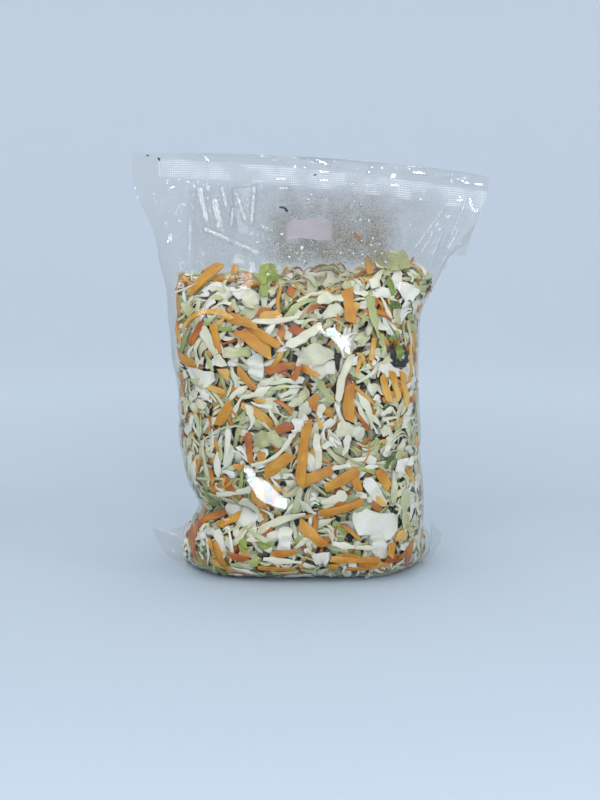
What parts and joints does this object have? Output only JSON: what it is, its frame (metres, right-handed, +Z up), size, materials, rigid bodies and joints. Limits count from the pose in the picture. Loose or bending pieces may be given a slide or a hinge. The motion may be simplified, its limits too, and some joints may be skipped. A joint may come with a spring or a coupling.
{
  "type": "bag of coleslaw mix",
  "caption": "Clear heat-sealed bag of dry coleslaw mix, shredded white and green cabbage with carrot strips, standing on its settled base",
  "frame": {"origin": "on the base, under the middle of the bag's bounding box", "axes": "+X along the flat top seal, to the right seen from the front; +Y from the front of the bag to its back; +Z up, from the base to the seal"},
  "size_m": [0.1764, 0.0872, 0.2092],
  "materials": {
    "film": "clear glossy film, slightly fogged above the slaw",
    "cabbage": "moist shredded white cabbage, from white to pale green",
    "leaf": "moist green outer cabbage leaf",
    "carrot": "moist cut carrot strips"
  },
  "bodies": {
    "root": {"coleslaw_bag": "film"}
  },
  "joints": []
}
